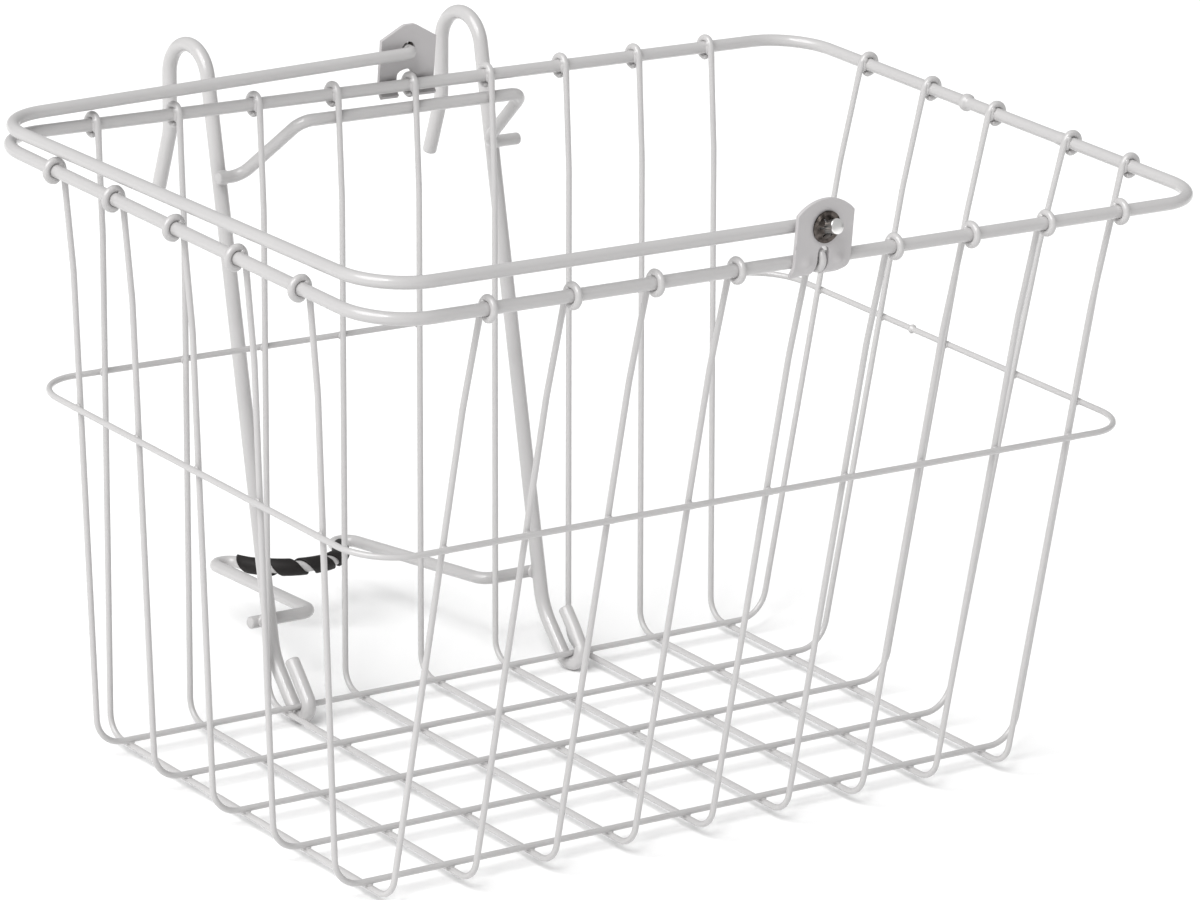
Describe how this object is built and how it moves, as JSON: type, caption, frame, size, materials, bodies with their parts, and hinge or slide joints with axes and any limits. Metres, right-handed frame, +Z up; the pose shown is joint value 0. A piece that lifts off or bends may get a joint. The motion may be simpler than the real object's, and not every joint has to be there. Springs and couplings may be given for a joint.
{
  "type": "handlebar basket",
  "caption": "White wire basket that hooks over a bicycle handlebar, with a swinging bail handle, a hoop round its walls and a wrapped saddle that rests on the head tube.",
  "frame": {"origin": "on the handlebar's axis, in the basket's middle plane", "axes": "+X along the handlebar and the basket's long side, +Y towards the rider, +Z up; the basket hangs on the -Y side"},
  "size_m": [0.3874, 0.3242, 0.2547],
  "materials": {
    "coated_wire": "gloss powder coat",
    "coated_sheet": "satin powder coat",
    "spring_steel": "dark spring steel",
    "grip_strip": "matte vinyl strip"
  },
  "bodies": {
    "basket": {"rim_wire": "coated_wire", "middle_hoop": "coated_wire", "cross_wire_1": "coated_wire", "cross_wire_2": "coated_wire", "cross_wire_3": "coated_wire", "cross_wire_4": "coated_wire", "cross_wire_5": "coated_wire", "cross_wire_6": "coated_wire", "cross_wire_7": "coated_wire", "cross_wire_8": "coated_wire", "cross_wire_9": "coated_wire", "long_wire_1": "coated_wire", "long_wire_2": "coated_wire", "long_wire_3": "coated_wire", "long_wire_4": "coated_wire", "long_wire_5": "coated_wire", "hanger_wire_left": "coated_wire", "hanger_wire_right": "coated_wire", "upper_brace_wire": "coated_wire", "lower_brace_wire": "coated_wire", "bail_bracket_front": "coated_sheet", "bail_bracket_rear": "coated_sheet", "pad_wrap": "grip_strip"},
    "bail": {"bail_handle": "coated_wire", "push_nut_front": "spring_steel", "push_nut_rear": "spring_steel"}
  },
  "joints": [
    {"name": "bail_swing", "type": "hinge", "parent": "basket", "child": "bail", "pos_m": [0, -0.17137, 0.02468], "axis": [0, 1, 0], "range_deg": [0, 181.8]}
  ]
}
